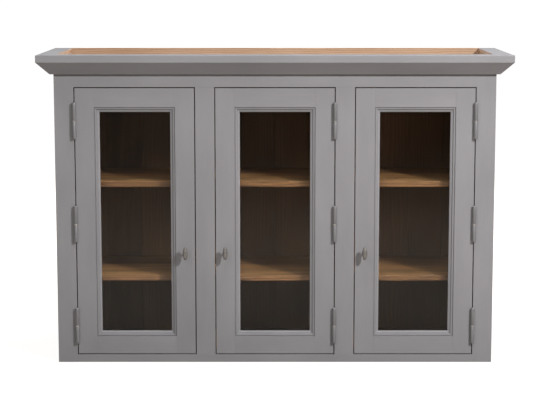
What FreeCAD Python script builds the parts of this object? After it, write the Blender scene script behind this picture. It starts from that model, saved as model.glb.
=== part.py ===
import FreeCAD, Part
import math
import os

import Sketcher

# Glazed hutch: a painted wall-cupboard top with three inset glazed doors on lift-off hinges,
# a mitred bevelled crown round an open well, and loose shelves on pins.
# X runs across the front, Y from front to back and Z up; the origin is under the middle.

DRIVING_SIZES = {
    # Carcass
    "body_width": 1308,
    "body_depth": 354,
    "body_height": 872,
    "side_thick": 20,
    "board_thick": 20,
    "partition_thick": 20,
    "housing_depth": 8,
    "groove_depth": 6,
    # Back boards
    "back_thick": 12,
    "back_rebate": 10,
    "back_board_count": 12,
    "tongue_long": 6,
    "tongue_thick": 4,
    "tongue_gap": 0.8,
    "vee_depth": 1.5,
    "rear_joint": 0.6,
    # Face frame
    "frame_thick": 22,
    "stile_width": 58,
    "mullion_width": 57,
    "top_rail_width": 38.5,
    "bottom_rail_width": 23.5,
    "tenon_thick": 8,
    "tenon_long": 26,
    "tenon_short": 14,
    "tenon_shoulder": 5,
    "tenon_end_gap": 1,
    # Crown
    "crown_overhang": 46,
    "crown_height": 58,
    "crown_fascia": 21,
    "crown_bevel": 36,
    "crown_seat": 10,
    "crown_arris": 2,
    "crown_back_thick": 20,
    # Shelves and their pins
    "shelf_thick": 18,
    "shelf_arris": 2,
    "shelf_setback": 28,
    "shelf_clearance": 1,
    "lower_shelf_top": 258,
    "upper_shelf_top": 546,
    "pin_diameter": 5,
    "pin_depth": 9,
    "pin_inset": 45,
    "pin_clearance": 0.05,
    "pin_tongue_long": 11,
    "pin_tongue_wide": 12,
    "pin_tongue_thick": 3,
    # Doors
    "door_gap": 3,
    "door_stile_width": 57,
    "door_top_rail_width": 56.5,
    "door_bottom_rail_width": 53.5,
    "door_tenon_long": 36,
    "door_tenon_shoulder": 7,
    # Moulding strips, glass and glazing beads
    "moulding_width": 15,
    "quirk_width": 1.2,
    "quirk_setback": 4.4,
    "reed_width": 5,
    "reed_setback": 3.2,
    "reed_radius": 6,
    "ovolo_setback": 7,
    "ovolo_radius": 11,
    "sight_setback": 9.4,
    "glass_setback": 11,
    "glass_thick": 4,
    "glass_clearance": 1.5,
    "bead_width": 13,
    "bead_nose": 4,
    # Knobs
    "knob_height": 338,
    "knob_inset": 28,
    "knob_standoff": 24,
    "olive_long": 38.4,
    "olive_radius": 7.2,
    "olive_end_radius": 5.9,
    "olive_half_long": 13,
    "olive_groove_radius": 4.3,
    "olive_groove_long": 0.9,
    "olive_groove_slope": 0.7,
    "cap_radius": 5.2,
    "shank_radius": 3.2,
    "rosette_radius": 6,
    "rosette_thick": 2,
    "rosette_flare": 5,
    "flare_radius": 7,
    "spigot_radius": 3,
    "spigot_long": 12,
    "spigot_clearance": 0.05,
    # Lift-off hinges
    "hinge_top_inset": 96.5,
    "hinge_bottom_inset": 87.5,
    "hinge_long": 110,
    "knuckle_radius": 5.5,
    "knuckle_nose": 3,
    "knuckle_clearance": 0.6,
    "knuckle_end_wall": 8,
    "hinge_pin_radius": 3,
    "hinge_pin_clearance": 0.05,
    "hinge_pin_top_gap": 1,
    "washer_thick": 1.6,
    "washer_radius": 5.8,
    "leaf_thick": 2.5,
    "leaf_gain": 1.5,
    "leaf_reach": 20,
    "leaf_high": 46,
    # Magnetic catches and strike plates
    "catch_wide": 30,
    "catch_deep": 15,
    "catch_high": 17,
    "catch_corner": 4,
    "catch_inset": 40,
    "catch_gap": 0.2,
    "lug_long": 9,
    "lug_thick": 3,
    "lug_hole_radius": 1.8,
    "strike_wide": 36,
    "strike_high": 11,
    "strike_thick": 1.5,
    "strike_rise": 1.5,
}


class Size:
    """A length in millimetres that carries the expression it is worked out from."""

    def __init__(self, value, text):
        self.value = value
        self.text = text

    def __add__(self, other):
        other = as_size(other)
        return Size(self.value + other.value, f"({self.text} + {other.text})")

    def __radd__(self, other):
        return as_size(other) + self

    def __sub__(self, other):
        other = as_size(other)
        return Size(self.value - other.value, f"({self.text} - {other.text})")

    def __rsub__(self, other):
        return as_size(other) - self

    def __mul__(self, factor):
        return Size(self.value * factor, f"({self.text} * {factor})")

    def __truediv__(self, divisor):
        return Size(self.value / divisor, f"({self.text} / {divisor})")

    def __neg__(self):
        return 0 - self


def as_size(number):
    return number if isinstance(number, Size) else Size(float(number), f"({float(number)})")


doc = FreeCAD.newDocument("GlazedHutch")
sheet = doc.addObject("Spreadsheet::Sheet", "Sizes")
for row, (alias, number) in enumerate(DRIVING_SIZES.items(), start=1):
    sheet.set(f"A{row}", alias)
    sheet.set(f"B{row}", str(number))
    sheet.setAlias(f"B{row}", alias)
doc.recompute()


def cell(alias):
    return Size(float(DRIVING_SIZES[alias]), f"Sizes.{alias}")


def bind(target, prop, size):
    target.setExpression(prop, as_size(size).text)


# Sketch and feature helpers

def new_body(name, at=(0, 0, 0)):
    body = doc.addObject("PartDesign::Body", name)
    place(body, at)
    return body


def place(target, at):
    for axis, size in zip("xyz", at):
        bind(target, f"Placement.Base.{axis}", size)


def sketch_on(body, role, offset=0):
    sketch = body.newObject("Sketcher::SketchObject", body.Name + "_sketch")
    plane = next(item for item in body.Origin.OriginFeatures if item.Role == role)
    sketch.AttachmentSupport = [(plane, "")]
    sketch.MapMode = "FlatFace"
    bind(sketch, "AttachmentOffset.Base.z", offset)
    return sketch


def dimension(sketch, kind, *reference, size):
    index = sketch.addConstraint(Sketcher.Constraint(kind, *reference, size.value))
    bind(sketch, f"Constraints[{index}]", size)


def arc_between(start, end, radius):
    """Arc from start to end; a positive radius turns left on the way, a negative one right."""
    chord = end - start
    left = FreeCAD.Vector(-chord.y, chord.x, 0).normalize()
    rise = math.sqrt(radius ** 2 - (chord.Length / 2) ** 2)
    centre = (start + end) / 2 + left * math.copysign(rise, radius)
    first, last = (start, end) if radius > 0 else (end, start)
    angles = [math.atan2(point.y - centre.y, point.x - centre.x) for point in (first, last)]
    if angles[1] < angles[0]:
        angles[1] += 2 * math.pi
    circle = Part.Circle(centre, FreeCAD.Vector(0, 0, 1), abs(radius))
    return Part.ArcOfCircle(circle, *angles)


def arc_radius(half_chord, rise):
    """Radius of the arc that stands off its chord by rise."""
    value = (half_chord.value ** 2 + rise.value ** 2) / (2 * rise.value)
    chord_text = f"{half_chord.text} * {half_chord.text}"
    return Size(value, f"({chord_text} + {rise.text} * {rise.text}) / (2 * {rise.text})")


def draw_outline(sketch, corners, arcs=None):
    """Closed outline through the corners; arcs gives the radius of a side by its first corner."""
    arcs = {index: as_size(radius) for index, radius in (arcs or {}).items()}
    corners = [(as_size(x), as_size(y)) for x, y in corners]
    points = [FreeCAD.Vector(x.value, y.value, 0) for x, y in corners]
    first = sketch.GeometryCount
    ends = []
    for index, start in enumerate(points):
        end = points[(index + 1) % len(points)]
        if index in arcs:
            sketch.addGeometry(arc_between(start, end, arcs[index].value))
            ends.append((1, 2) if arcs[index].value > 0 else (2, 1))
        else:
            sketch.addGeometry(Part.LineSegment(start, end))
            ends.append((1, 2))
    for index, (x, y) in enumerate(corners):
        side = first + index
        following = (index + 1) % len(corners)
        joint = (side, ends[index][1], first + following, ends[following][0])
        sketch.addConstraint(Sketcher.Constraint("Coincident", *joint))
        dimension(sketch, "DistanceX", -1, 1, side, ends[index][0], size=x)
        dimension(sketch, "DistanceY", -1, 1, side, ends[index][0], size=y)
        if index in arcs:
            radius = arcs[index]
            dimension(sketch, "Radius", side, size=radius if radius.value > 0 else -radius)


def draw_circle(sketch, x, y, radius):
    x, y, radius = as_size(x), as_size(y), as_size(radius)
    centre = FreeCAD.Vector(x.value, y.value, 0)
    side = sketch.addGeometry(Part.Circle(centre, FreeCAD.Vector(0, 0, 1), radius.value))
    dimension(sketch, "DistanceX", -1, 1, side, 3, size=x)
    dimension(sketch, "DistanceY", -1, 1, side, 3, size=y)
    dimension(sketch, "Radius", side, size=radius)


def feature(body, kind, sketch, length, reverse=False):
    made = body.newObject(f"PartDesign::{kind}", f"{body.Name}_{kind.lower()}")
    made.Profile = sketch
    made.Reversed = reverse
    bind(made, "Length", length)
    return made


def revolve(body, sketch):
    turned = body.newObject("PartDesign::Revolution", f"{body.Name}_turning")
    turned.Profile = sketch
    turned.ReferenceAxis = (sketch, ["V_Axis"])
    turned.Angle = 360


def box_feature(body, kind, low, high):
    """Square-edged tenon, leaf, mortise or rebate between two corners in the body's own frame."""
    sketch = sketch_on(body, "XY_Plane", low[2] if kind == "Pad" else high[2])
    draw_outline(sketch, [(low[0], low[1]), (high[0], low[1]), (high[0], high[1]), (low[0], high[1])])
    feature(body, kind, sketch, as_size(high[2]) - low[2])


def add_box(body, low, high):
    box_feature(body, "Pad", low, high)


def cut_box(body, low, high):
    box_feature(body, "Pocket", low, high)


def board(name, width, depth, height, at):
    body = new_body(name, at)
    add_box(body, (0, 0, 0), (width, depth, height))
    return body


def mirrored(source, name, plane=0, normal=(1, 0, 0)):
    copy = doc.addObject("Part::Mirroring", name)
    copy.Source = source
    copy.Normal = FreeCAD.Vector(*normal)
    axis = "xyz"[normal.index(1)]
    bind(copy, f"Base.{axis}", plane)
    return copy


def placed_copy(source, name, at):
    link = doc.addObject("App::Link", name)
    link.LinkedObject = source
    place(link, at)
    return link


def group(name, members):
    together = doc.addObject("Part::Compound", name)
    together.Links = members
    return together


# Sizes that follow from the driving ones

frame_thick = cell("frame_thick")
door_gap = cell("door_gap")
half_body = cell("body_width") / 2
crown_width = cell("body_width") + cell("crown_overhang") * 2
crown_depth = cell("body_depth") + cell("crown_overhang")
crown_top_wide = cell("crown_overhang") + cell("crown_seat")
front = -(crown_depth / 2)
face = front + cell("crown_overhang")
inside = face + frame_thick
rear = face + cell("body_depth")
body_top = cell("body_height")

opening_width = (cell("body_width") - cell("stile_width") * 2 - cell("mullion_width") * 2) / 3
opening_height = body_top - cell("top_rail_width") - cell("bottom_rail_width")
bay_pitch = opening_width + cell("mullion_width")
mullion_centre = bay_pitch / 2
middle_mirror = -mullion_centre
board_depth = cell("body_depth") - frame_thick - cell("back_thick")
board_width = cell("body_width") - (cell("side_thick") - cell("housing_depth")) * 2

tenon_cheek = (frame_thick - cell("tenon_thick")) / 2
tenon_back = tenon_cheek + cell("tenon_thick")

door_width = opening_width - door_gap * 2
door_height = opening_height - door_gap * 2
door_left = cell("stile_width") + door_gap - half_body
door_right = door_left + door_width
door_bottom = cell("bottom_rail_width") + door_gap
sash_width = door_width - cell("door_stile_width") * 2
sash_height = door_height - cell("door_top_rail_width") - cell("door_bottom_rail_width")
sash_left = door_left + cell("door_stile_width")
sash_bottom = door_bottom + cell("door_bottom_rail_width")
sash_middle_x = sash_left + sash_width / 2
sash_middle_z = sash_bottom + sash_height / 2

hinge_x = door_left - door_gap / 2
hinge_y = face - cell("knuckle_radius") - cell("knuckle_clearance")
bottom_hinge = door_bottom + cell("hinge_bottom_inset")
top_hinge = door_bottom + door_height - cell("hinge_top_inset")
hinge_heights = [bottom_hinge, (bottom_hinge + top_hinge) / 2, top_hinge]
leaf_middle = cell("hinge_long") / 4

shelf_tops = {"lower": cell("lower_shelf_top"), "upper": cell("upper_shelf_top")}
shelf_front = inside + cell("shelf_setback")
shelf_rear = rear - cell("back_thick") - cell("shelf_clearance")
pin_depths = [shelf_front + cell("pin_inset"), shelf_rear - cell("pin_inset")]
pin_radius = cell("pin_diameter") / 2
pin_heights = [top - cell("shelf_thick") - pin_radius for top in shelf_tops.values()]


# Carcass

def pin_bores(body, face_x, drop, length):
    """Shelf pin bores into the face at face_x of an upright that stands at height drop."""
    sketch = sketch_on(body, "YZ_Plane", face_x)
    for depth in pin_depths:
        for height in pin_heights:
            draw_circle(sketch, depth - inside, height - drop, pin_radius + cell("pin_clearance"))
    feature(body, "Pocket", sketch, length)


def side_panels():
    thick = cell("side_thick")
    depth = cell("body_depth") - frame_thick
    panel = board("left_side_panel", thick, depth, body_top, (-half_body, inside, 0))
    rebate = (thick - cell("back_rebate"), depth - cell("back_thick"), 0)
    cut_box(panel, rebate, (thick, depth, body_top))
    housing = thick - cell("housing_depth")
    cut_box(panel, (housing, 0, 0), (thick, depth, cell("board_thick")))
    cut_box(panel, (housing, 0, body_top - cell("board_thick")), (thick, depth, body_top))
    pin_bores(panel, thick, 0, cell("pin_depth"))
    return [panel, mirrored(panel, "right_side_panel")]


def level_board(name, height, groove_low):
    """Bottom or top board, grooved across for the two partitions."""
    body = board(name, board_width, board_depth, cell("board_thick"), (-(board_width / 2), inside, height))
    for centre in (-mullion_centre, mullion_centre):
        left = board_width / 2 + centre - cell("partition_thick") / 2
        high = (left + cell("partition_thick"), board_depth, groove_low + cell("groove_depth"))
        cut_box(body, (left, 0, groove_low), high)
    return body


def level_boards():
    thick = cell("board_thick")
    return [
        level_board("bottom_board", 0, thick - cell("groove_depth")),
        level_board("top_board", body_top - thick, as_size(0)),
    ]


def partitions():
    thick = cell("partition_thick")
    foot = cell("board_thick") - cell("groove_depth")
    left = -mullion_centre - thick / 2
    panel = board("left_partition", thick, board_depth, body_top - foot * 2, (left, inside, foot))
    pin_bores(panel, thick, foot, thick)
    return [panel, mirrored(panel, "right_partition")]


def back_board(index, count, pitch, left):
    """One tongue-and-groove board, open at its rear joint; the end boards are plain at the sides."""
    thick = cell("back_thick")
    vee = cell("vee_depth")
    tongue_front = (thick - cell("tongue_thick")) / 2
    tongue_rear = tongue_front + cell("tongue_thick")
    groove = cell("tongue_long") + cell("tongue_gap")
    right_edge = [(pitch, 0), (pitch, thick)]
    left_edge = [(0, 0)]
    if index < count - 1:
        tip = pitch + cell("tongue_long")
        right_edge = [(pitch - vee, 0), (pitch, vee), (pitch, tongue_front), (tip, tongue_front)]
        shoulder = pitch - cell("rear_joint")
        right_edge += [(tip, tongue_rear), (shoulder, tongue_rear), (shoulder, thick)]
    if index > 0:
        left_edge = [(0, tongue_rear), (groove, tongue_rear), (groove, tongue_front)]
        left_edge += [(0, tongue_front), (0, vee), (vee, 0)]
    body = new_body(f"back_board_{index + 1}", (left + pitch * index, rear - thick, 0))
    sketch = sketch_on(body, "XY_Plane")
    draw_outline(sketch, right_edge + [(0, thick)] + left_edge)
    feature(body, "Pad", sketch, body_top)
    return body


def back_boards():
    count = int(DRIVING_SIZES["back_board_count"])
    width = cell("body_width") - (cell("side_thick") - cell("back_rebate")) * 2
    pitch = width / count
    return [group("back_boards", [back_board(i, count, pitch, -(width / 2)) for i in range(count)])]


# Face frame

def hinge_gains(body, edge_low, edge_high, heights):
    for height in heights:
        low = height - cell("leaf_high") / 2
        cut_box(body, (edge_low, 0, low), (edge_high, cell("leaf_reach"), low + cell("leaf_high")))


def rail_mortises(body, low_x, high_x, low_z, high_z):
    cut_box(body, (low_x, tenon_cheek, low_z), (high_x, tenon_back, high_z))


def rail_tenons(body, length, long, low_z, high_z):
    add_box(body, (-long, tenon_cheek, low_z), (0, tenon_back, high_z))
    add_box(body, (length, tenon_cheek, low_z), (length + long, tenon_back, high_z))


def face_stiles():
    width = cell("stile_width")
    shoulder = cell("tenon_shoulder")
    stile = board("left_face_stile", width, frame_thick, body_top, (-half_body, face, 0))
    deep = width - cell("tenon_long") - cell("tenon_end_gap")
    rail_mortises(stile, deep, width, shoulder, cell("bottom_rail_width") - shoulder)
    rail_low = body_top - cell("top_rail_width")
    rail_mortises(stile, deep, width, rail_low + shoulder, body_top - shoulder)
    frame_leaves = [height - leaf_middle for height in hinge_heights]
    hinge_gains(stile, width - cell("leaf_gain"), width, frame_leaves)
    return [stile, mirrored(stile, "right_face_stile")]


def mullion(name, centre):
    width = cell("mullion_width")
    shoulder = cell("tenon_shoulder")
    foot = cell("bottom_rail_width")
    body = board(name, width, frame_thick, opening_height, (centre - width / 2, face, foot))
    short = cell("tenon_short")
    add_box(body, (shoulder, tenon_cheek, -short), (width - shoulder, tenon_back, 0))
    top = opening_height
    add_box(body, (shoulder, tenon_cheek, top), (width - shoulder, tenon_back, top + short))
    return body


def mullions():
    right = mullion("right_mullion", mullion_centre)
    frame_leaves = [height - leaf_middle - cell("bottom_rail_width") for height in hinge_heights]
    hinge_gains(right, 0, cell("leaf_gain"), frame_leaves)
    return [mullion("left_mullion", -mullion_centre), right]


def face_rail(name, high, foot, mortise_low, mortise_high):
    length = cell("body_width") - cell("stile_width") * 2
    shoulder = cell("tenon_shoulder")
    rail = board(name, length, frame_thick, high, (-(length / 2), face, foot))
    rail_tenons(rail, length, cell("tenon_long"), shoulder, high - shoulder)
    half_tenon = cell("mullion_width") / 2 - shoulder
    for centre in (-mullion_centre, mullion_centre):
        middle = length / 2 + centre
        rail_mortises(rail, middle - half_tenon, middle + half_tenon, mortise_low, mortise_high)
    return rail


def face_rails():
    deep = cell("tenon_short") + cell("tenon_end_gap")
    top = cell("top_rail_width")
    bottom = cell("bottom_rail_width")
    return [
        face_rail("top_face_rail", top, body_top - top, as_size(0), deep),
        face_rail("bottom_face_rail", bottom, 0, bottom - deep, bottom),
    ]


# Crown

def crown_profile(sketch):
    high = cell("crown_height")
    arris = cell("crown_arris")
    fascia_low = high - cell("crown_fascia")
    corners = [
        (crown_top_wide, 0),
        (crown_top_wide, high),
        (arris, high),
        (0, high - arris),
        (0, fascia_low),
        (cell("crown_bevel"), 0),
    ]
    draw_outline(sketch, corners, {2: arris})


def cut_mitre(body, corners):
    sketch = sketch_on(body, "XY_Plane", cell("crown_height"))
    draw_outline(sketch, corners)
    feature(body, "Pocket", sketch, cell("crown_height"))


def crown():
    wide = crown_top_wide
    corner = (-(crown_width / 2), front, body_top)
    crown_front = new_body("crown_front", corner)
    sketch = sketch_on(crown_front, "YZ_Plane")
    crown_profile(sketch)
    feature(crown_front, "Pad", sketch, crown_width)
    cut_mitre(crown_front, [(0, 0), (wide, wide), (0, wide)])
    cut_mitre(crown_front, [(crown_width, 0), (crown_width, wide), (crown_width - wide, wide)])
    left_return = new_body("crown_left_return", corner)
    sketch = sketch_on(left_return, "XZ_Plane")
    crown_profile(sketch)
    feature(left_return, "Pad", sketch, crown_depth, reverse=True)
    cut_mitre(left_return, [(0, 0), (wide, 0), (wide, wide)])
    length = crown_width - wide * 2
    thick = cell("crown_back_thick")
    place_back = (-(length / 2), rear - thick, body_top)
    back_rail = board("crown_back_rail", length, thick, cell("crown_height"), place_back)
    return [crown_front, left_return, mirrored(left_return, "crown_right_return"), back_rail]


# Shelves and shelf pins

def shelf(name, left, right, top):
    clear = cell("shelf_clearance")
    thick = cell("shelf_thick")
    arris = cell("shelf_arris")
    deep = shelf_rear - shelf_front
    body = new_body(name, (left + clear, shelf_front, top - thick))
    sketch = sketch_on(body, "YZ_Plane")
    corners = [(arris, 0), (deep, 0), (deep, thick), (arris, thick), (0, thick - arris), (0, arris)]
    draw_outline(sketch, corners, {3: arris, 5: arris})
    feature(body, "Pad", sketch, right - left - clear * 2)
    return body


def shelves():
    half_partition = cell("partition_thick") / 2
    outer = half_body - cell("side_thick")
    made = []
    for level, top in shelf_tops.items():
        left = shelf(f"left_{level}_shelf", -outer, -mullion_centre - half_partition, top)
        inner = mullion_centre - half_partition
        middle = shelf(f"middle_{level}_shelf", -inner, inner, top)
        made += [left, middle, mirrored(left, f"right_{level}_shelf")]
    return made


def shelf_pins():
    pin = new_body("shelf_pin")
    sketch = sketch_on(pin, "YZ_Plane")
    draw_circle(sketch, 0, 0, pin_radius)
    feature(pin, "Pad", sketch, cell("pin_depth"), reverse=True)
    half_wide = cell("pin_tongue_wide") / 2
    low = (0, -half_wide, pin_radius - cell("pin_tongue_thick"))
    add_box(pin, low, (cell("pin_tongue_long"), half_wide, pin_radius))
    facing_left = mirrored(pin, "shelf_pin_facing_left")
    half_partition = cell("partition_thick") / 2
    walls = [
        (pin, cell("side_thick") - half_body),
        (facing_left, -mullion_centre - half_partition),
        (pin, half_partition - mullion_centre),
        (facing_left, mullion_centre - half_partition),
        (pin, mullion_centre + half_partition),
        (facing_left, half_body - cell("side_thick")),
    ]
    places = [(wall, y, z) for wall in walls for y in pin_depths for z in pin_heights]
    pins = [
        placed_copy(source, f"shelf_pin_{number}", (x, y, z))
        for number, ((source, x), y, z) in enumerate(places, start=1)
    ]
    return [group("shelf_pins", pins)]


# Lift-off hinges: the frame half carries the pin, a washer lies on it, the door half drops over

def hinge_half(name, side):
    """Knuckle and leaf about the hinge axis; side -1 is the lower frame half, 1 the door half."""
    radius = cell("knuckle_radius")
    nose = cell("knuckle_nose")
    end = cell("hinge_long") / 2
    start = cell("washer_thick") / 2
    body = new_body(name)
    sketch = sketch_on(body, "XZ_Plane")
    corners = [(0, start), (radius, start), (radius, end - nose), (radius - nose, end), (0, end)]
    corners = [(x, y if side > 0 else -y) for x, y in (map(as_size, point) for point in corners)]
    draw_outline(sketch, corners, {2: nose * side})
    revolve(body, sketch)
    outer = door_gap / 2 + cell("leaf_gain")
    inner = outer - cell("leaf_thick")
    middle = leaf_middle if side > 0 else -leaf_middle
    sides = (inner, outer) if side > 0 else (-outer, -inner)
    half_high = cell("leaf_high") / 2
    reach = cell("knuckle_radius") + cell("knuckle_clearance") + cell("leaf_reach")
    add_box(body, (sides[0], 0, middle - half_high), (sides[1], reach, middle + half_high))
    sketch = sketch_on(body, "XY_Plane", start if side > 0 else -start)
    draw_circle(sketch, 0, 0, cell("hinge_pin_radius") + cell("hinge_pin_clearance"))
    bore = end - start - cell("knuckle_end_wall")
    feature(body, "Pocket", sketch, bore, reverse=side > 0)
    return body


def hinge_pin():
    reach = cell("hinge_long") / 2 - cell("knuckle_end_wall")
    pin = new_body("hinge_pin")
    sketch = sketch_on(pin, "XY_Plane", -reach)
    draw_circle(sketch, 0, 0, cell("hinge_pin_radius"))
    feature(pin, "Pad", sketch, reach * 2 - cell("hinge_pin_top_gap"))
    return pin


def hinge_washer():
    washer = new_body("hinge_washer")
    sketch = sketch_on(washer, "XY_Plane", -(cell("washer_thick") / 2))
    draw_circle(sketch, 0, 0, cell("washer_radius"))
    draw_circle(sketch, 0, 0, cell("hinge_pin_radius") + cell("hinge_pin_clearance"))
    feature(washer, "Pad", sketch, cell("washer_thick"))
    return washer


def at_each_hinge(source, name):
    copies = [
        placed_copy(source, f"{name}_{number}", (hinge_x, hinge_y, height))
        for number, height in enumerate(hinge_heights, start=1)
    ]
    return group(name, copies)


def on_every_door(source, name):
    """The left door's set with its mirror images for the middle and the right door."""
    middle = mirrored(source, f"{name}_middle", middle_mirror)
    return group(name, [source, middle, mirrored(source, f"{name}_right")])


def hinges():
    halves = at_each_hinge(hinge_half("hinge_frame_half", -1), "left_frame_leaves")
    pins = at_each_hinge(hinge_pin(), "left_hinge_pins")
    washers = at_each_hinge(hinge_washer(), "left_hinge_washers")
    return [
        on_every_door(halves, "hinge_frame_leaves"),
        on_every_door(pins, "hinge_pins"),
        on_every_door(washers, "hinge_washers"),
    ]


# Magnetic catches on the bottom board

def catches():
    wide = cell("catch_wide")
    deep = cell("catch_deep")
    corner = cell("catch_corner")
    lug = cell("lug_long")
    left = door_right - cell("catch_inset") - wide / 2
    nearest = inside + cell("strike_thick") + cell("catch_gap")
    body = new_body("left_catch", (left, nearest, cell("board_thick")))
    sketch = sketch_on(body, "XY_Plane")
    corners = [(0, 0), (wide, 0), (wide, deep - corner), (wide - corner, deep), (corner, deep)]
    corners.append((0, deep - corner))
    draw_outline(sketch, corners, {2: corner, 4: corner})
    feature(body, "Pad", sketch, cell("catch_high"))
    sketch = sketch_on(body, "XY_Plane")
    lug_front = corner
    lug_rear = deep - corner
    for edge, tip, middle in ((0, -lug, -lug / 2), (wide, wide + lug, wide + lug / 2)):
        outline = [(edge, lug_front), (tip, lug_front), (tip, lug_rear), (edge, lug_rear)]
        draw_outline(sketch, outline)
        draw_circle(sketch, middle, deep / 2, cell("lug_hole_radius"))
    feature(body, "Pad", sketch, cell("lug_thick"))
    return [on_every_door(body, "catch_bodies")]


# Doors: the left one is modelled, the other two are its mirror images

def door_frame():
    stile = cell("door_stile_width")
    top_rail = cell("door_top_rail_width")
    bottom_rail = cell("door_bottom_rail_width")
    shoulder = cell("door_tenon_shoulder")
    tenon = cell("door_tenon_long")
    deep = tenon + cell("tenon_end_gap")
    top_low = door_height - top_rail + shoulder
    hinge_place = (door_left, face, door_bottom)
    lock_place = (door_right - stile, face, door_bottom)
    hinge_stile = board("left_door_hinge_stile", stile, frame_thick, door_height, hinge_place)
    lock_stile = board("left_door_lock_stile", stile, frame_thick, door_height, lock_place)
    for body, low_x, high_x in ((hinge_stile, stile - deep, stile), (lock_stile, 0, deep)):
        rail_mortises(body, low_x, high_x, shoulder, bottom_rail - shoulder)
        rail_mortises(body, low_x, high_x, top_low, door_height - shoulder)
    door_leaves = [height + leaf_middle - door_bottom for height in hinge_heights]
    hinge_gains(hinge_stile, 0, cell("leaf_gain"), door_leaves)
    sketch = sketch_on(lock_stile, "XZ_Plane")
    knob_bore = cell("spigot_radius") + cell("spigot_clearance")
    draw_circle(sketch, stile - cell("knob_inset"), cell("knob_height") - door_bottom, knob_bore)
    feature(lock_stile, "Pocket", sketch, cell("spigot_long") + cell("tenon_end_gap"))
    rails = []
    for name, high, foot in (("top", top_rail, door_height - top_rail), ("bottom", bottom_rail, as_size(0))):
        rail_place = (sash_left, face, door_bottom + foot)
        rail = board(f"left_door_{name}_rail", sash_width, frame_thick, high, rail_place)
        rail_tenons(rail, sash_width, tenon, shoulder, high - shoulder)
        rails.append(rail)
    return [hinge_stile, lock_stile] + rails


def mitred_strips(name, wide, profile, arcs, setback):
    """Four strips round the sash with mitred corners; profile runs from the sash edge inwards."""
    corner = (sash_left, face + setback, sash_bottom)
    thick = frame_thick - setback
    upright = new_body(f"{name}_upright", corner)
    sketch = sketch_on(upright, "XY_Plane")
    draw_outline(sketch, profile, arcs)
    feature(upright, "Pad", sketch, sash_height)
    level = new_body(f"{name}_level", corner)
    sketch = sketch_on(level, "YZ_Plane")
    turned_profile = [(depth, inward) for inward, depth in profile]
    draw_outline(sketch, turned_profile, {side: -radius for side, radius in arcs.items()})
    feature(level, "Pad", sketch, sash_width)
    mitres = {
        upright: [
            [(0, 0), (wide, 0), (wide, wide)],
            [(0, sash_height), (wide, sash_height), (wide, sash_height - wide)],
        ],
        level: [
            [(0, 0), (0, wide), (wide, wide)],
            [(sash_width, 0), (sash_width, wide), (sash_width - wide, wide)],
        ],
    }
    for body, ends in mitres.items():
        for outline in ends:
            sketch = sketch_on(body, "XZ_Plane")
            draw_outline(sketch, outline)
            feature(body, "Pocket", sketch, thick)
    strips = [upright, mirrored(upright, f"{name}_far_upright", sash_middle_x), level]
    strips.append(mirrored(level, f"{name}_far_level", sash_middle_z, (0, 0, 1)))
    return group(name, strips)


def door_glazing():
    wide = cell("moulding_width")
    quirk = cell("quirk_width")
    reed_end = quirk + cell("reed_width")
    back = cell("glass_setback")
    moulding_profile = [
        (0, back),
        (0, cell("quirk_setback")),
        (quirk, cell("quirk_setback")),
        (quirk, cell("reed_setback")),
        (reed_end, cell("reed_setback")),
        (reed_end, cell("ovolo_setback")),
        (wide, cell("sight_setback")),
        (wide, back),
    ]
    moulding_arcs = {3: cell("reed_radius"), 5: cell("ovolo_radius")}
    moulding = mitred_strips("left_door_moulding", wide, moulding_profile, moulding_arcs, as_size(0))
    clear = cell("glass_clearance")
    glass_place = (sash_left + clear, face + back, sash_bottom + clear)
    glass_size = (sash_width - clear * 2, cell("glass_thick"), sash_height - clear * 2)
    glass = board("left_door_glass", *glass_size, glass_place)
    bead_setback = back + cell("glass_thick")
    bead_deep = frame_thick - bead_setback
    bead_wide = cell("bead_width")
    nose = cell("bead_nose")
    bead_profile = [(0, 0), (bead_wide, 0), (bead_wide, bead_deep - nose), (bead_wide - nose, bead_deep)]
    bead_profile.append((0, bead_deep))
    beads = mitred_strips("left_door_glazing_beads", bead_wide, bead_profile, {2: nose}, bead_setback)
    return [moulding, glass, beads]


def door_knob():
    """Turned olive with a groove and a domed cap at each end, on a flared shank with a spigot."""
    half = cell("olive_half_long")
    groove = cell("olive_groove_radius")
    groove_low = half + cell("olive_groove_slope")
    groove_high = groove_low + cell("olive_groove_long")
    cap_low = groove_high + cell("olive_groove_slope")
    end = cell("olive_long") / 2
    upper = [
        (cell("olive_end_radius"), half),
        (groove, groove_low),
        (groove, groove_high),
        (cell("cap_radius"), cap_low),
        (0, end),
    ]
    lower = [(x, -y) for x, y in reversed(upper)]
    place_knob = (door_right - cell("knob_inset"), face - cell("knob_standoff"), cell("knob_height"))
    knob = new_body("left_door_knob", place_knob)
    sketch = sketch_on(knob, "XZ_Plane")
    belly = arc_radius(half, cell("olive_radius") - cell("olive_end_radius"))
    dome = arc_radius(cell("cap_radius"), end - cap_low)
    draw_outline(sketch, lower + upper, {0: dome, 4: belly, 8: dome})
    revolve(knob, sketch)
    standoff = cell("knob_standoff")
    rosette_front = standoff - cell("rosette_thick")
    spigot_end = standoff + cell("spigot_long")
    shank_profile = [
        (0, 0),
        (cell("shank_radius"), 0),
        (cell("shank_radius"), rosette_front - cell("rosette_flare")),
        (cell("rosette_radius"), rosette_front),
        (cell("rosette_radius"), standoff),
        (cell("spigot_radius"), standoff),
        (cell("spigot_radius"), spigot_end),
        (0, spigot_end),
    ]
    sketch = sketch_on(knob, "XY_Plane")
    draw_outline(sketch, shank_profile, {2: -cell("flare_radius")})
    revolve(knob, sketch)
    return knob


def strike_plate():
    left = door_right - cell("catch_inset") - cell("strike_wide") / 2
    place_plate = (left, inside, door_bottom + cell("strike_rise"))
    size = (cell("strike_wide"), cell("strike_thick"), cell("strike_high"))
    return board("left_door_strike_plate", *size, place_plate)


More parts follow.
